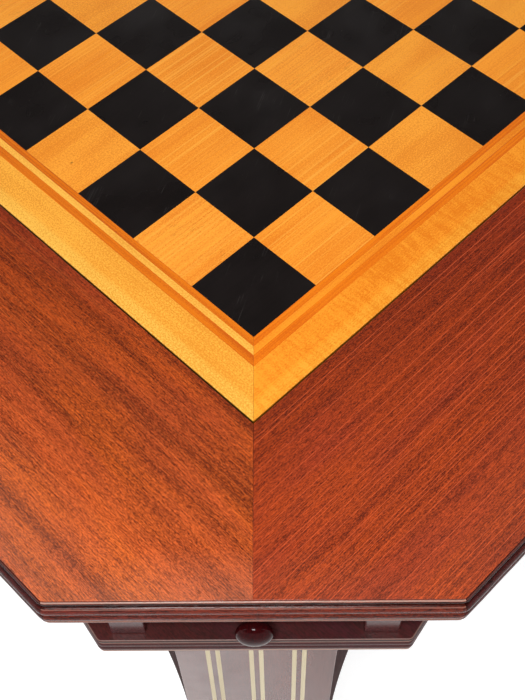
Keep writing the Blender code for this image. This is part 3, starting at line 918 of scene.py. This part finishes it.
def knob_shape(base, reach, radius, neck, stem):
    """A flattened turned knob on a short stem, its axis along +X from the drawer front."""
    head = reach - stem
    profile = [(0.0, reach)]
    steps = 22
    for step in range(1, steps):
        turn = math.radians(90 - 152 * step / steps)
        profile.append((radius * math.cos(turn) ** 0.94,
                        stem + head / 2 + head / 2 * math.sin(turn)))
    profile += [(neck + 0.0008, stem + 0.0001), (neck, stem - 0.0010), (neck, 0.0034),
                (neck + 0.0006, 0.0016), (neck + 0.0016, 0.0006), (neck + 0.0018, 0.0)]
    sides = 64
    verts = [(base + reach, 0, 0)]
    for distance, out in profile[1:]:
        for i in range(sides):
            turn = 2 * math.pi * i / sides
            verts.append((base + out, distance * math.cos(turn), distance * math.sin(turn)))
    faces = [(0, 1 + i, 1 + (i + 1) % sides) for i in range(sides)]
    for ring in range(len(profile) - 2):
        low = 1 + ring * sides
        for i in range(sides):
            j = (i + 1) % sides
            faces.append((low + i, low + sides + i, low + sides + j, low + j))
    last = 1 + (len(profile) - 2) * sides
    faces.append(tuple(last + i for i in reversed(range(sides))))
    return verts, faces


def build_drawers():
    """Each drawer: a mahogany front, four plain boards behind it and a turned knob."""
    wall, joint = TRAY_WALL, TRAY_JOINT
    for corner, angle in CORNERS.items():
        body = f"drawer_{corner}"
        low, high = local_box(f"drawer_front_{corner}", angle)
        middle = (low.z + high.z) / 2
        verts, faces = block(low, high)
        new_piece(f"front_{corner}", verts, faces, "drawer", body,
                  [f"drawer_front_{corner}"], angle, arris=0.0008)
        tray_low, tray_high = local_box(f"drawer_tray_{corner}", angle)
        back, fore, half = tray_low.x, tray_high.x, tray_high.y
        base = tray_low.z
        boards = {
            "side_a": ((back, -half, base), (fore, -half + wall, tray_high.z), "xyz"),
            "side_b": ((back, half - wall, base), (fore, half, tray_high.z), "xyz"),
            "back": ((back, -half + wall + joint, base),
                     (back + wall, half - wall - joint, tray_high.z - 0.002), "yxz"),
            "bottom": ((back + wall + joint, -half + wall + joint, base + 0.0004),
                       (fore, half - wall - joint, base + TRAY_FLOOR), "yxz"),
        }
        for name, (one, other, grain) in boards.items():
            verts, faces = block(one, other)
            nodes = [f"drawer_tray_{corner}"] if name == "bottom" else []
            new_piece(f"tray_{name}_{corner}", verts, faces, "plain", body,
                      nodes, angle, grain=grain, arris=0.0005)
        knob_high = local_box(f"drawer_knob_{corner}", angle)[1]
        reach, radius = knob_high.x - high.x, knob_high.z - middle
        verts, faces = knob_shape(high.x, reach, radius, KNOB_NECK, reach - KNOB_HEAD)
        verts = [(x, y, z + middle) for x, y, z in verts]
        new_piece(f"knob_{corner}", verts, faces, "knob", body,
                  [f"drawer_knob_{corner}"], angle, grain="xyz", smooth=60)


# Legs -------------------------------------------------------------------------------------
LEG_FACE_FLARE = (0.0012, 0.0120)    # extra half width at the top, and the drop it fades in
LEG_BACK_FLARE = (0.0300, 0.1450)
LEG_FOOT_DEPTH = 0.0280
LEG_VENEER = 0.0012
STRING_WIDTH = 0.0025
STRING_PITCH = 0.0054      # between the two strings of a pair
PAIR_CENTRES = (-0.0237, 0.0, 0.0237)


def build_legs():
    """Canted legs that narrow downward, with three pairs of pale strings let into the face."""
    for corner, angle in CORNERS.items():
        low, high = local_box(f"leg_{corner}", angle)
        height = high.z - low.z
        face = high.x
        depth_top = face - low.x
        rings = []
        steps = 48
        for step in range(steps, -1, -1):
            drop = height * (step / steps) ** 1.6
            share = drop / height
            half = LEG_TOP_HALF + (LEG_FOOT_HALF - LEG_TOP_HALF) * share
            depth = depth_top + (LEG_FOOT_DEPTH - depth_top) * share
            front = half + LEG_FACE_FLARE[0] * math.exp(-drop / LEG_FACE_FLARE[1])
            back = half + LEG_BACK_FLARE[0] * math.exp(-drop / LEG_BACK_FLARE[1])
            z = high.z - drop
            rings.append([(face, -front, z), (face, front, z),
                          (face - depth, back, z), (face - depth, -back, z)])
        verts, faces = loft([[(min(x, face - LEG_VENEER), y, z) for x, y, z in ring]
                             for ring in rings])
        new_piece(f"canted_leg_{corner}", verts, faces, "leg_side", "table",
                  [f"leg_{corner}"], angle, grain="zyx", arris=0.0006)
        facing = [[(face - LEG_VENEER, y, z) if x < face else (x, y, z)
                   for x, y, z in (*ring[:2], *((face - LEG_VENEER, y, z)
                                               for _, y, z in ring[1::-1]))] for ring in rings]
        verts, faces = loft(facing)
        new_piece(f"leg_facing_{corner}", verts, faces, "leg_face", "table",
                  [], angle, grain="zyx", arris=0.0004)
        strings = []
        for pair in PAIR_CENTRES:
            for hand in (-1, 1):
                middle = pair + hand * STRING_PITCH / 2
                strings.append(block((face - 0.0006, middle - STRING_WIDTH / 2, low.z + 0.0012),
                                     (face + 0.00005, middle + STRING_WIDTH / 2, high.z)))
        verts, faces = merged(strings)
        new_piece(f"leg_strings_{corner}", verts, faces, "leg_string", "table",
                  [], angle, grain="zyx")
        glide_low, glide_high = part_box(f"glide_{corner}")
        build_glide(corner, (glide_low + glide_high) / 2, glide_low.z, glide_high)


def build_glide(corner, middle, low, high):
    """A round nylon glide with a rounded rim and a nail hole."""
    radius = high.x - middle.x
    rim = 0.0008
    profile = [(0.0014, low + 0.0016), (0.0016, low + 0.0003), (0.0030, low)]
    for step in range(6):
        turn = math.radians(-90 + 90 * step / 5)
        profile.append((radius - rim + rim * math.cos(turn), low + rim + rim * math.sin(turn)))
    profile.append((radius, high.z))
    sides = 40
    rings = []
    for reach, z in profile:
        rings.append([(middle.x + reach * math.cos(2 * math.pi * i / sides),
                       middle.y + reach * math.sin(2 * math.pi * i / sides), z)
                      for i in range(sides)])
    verts, faces = loft(rings)
    new_piece(f"foot_glide_{corner}", verts, faces, "nylon", "table",
              [f"glide_{corner}"])


make_camera()
make_studio()
build_top()
build_board()
build_well()
build_tier()
build_blocks()
build_drawers()
build_legs()
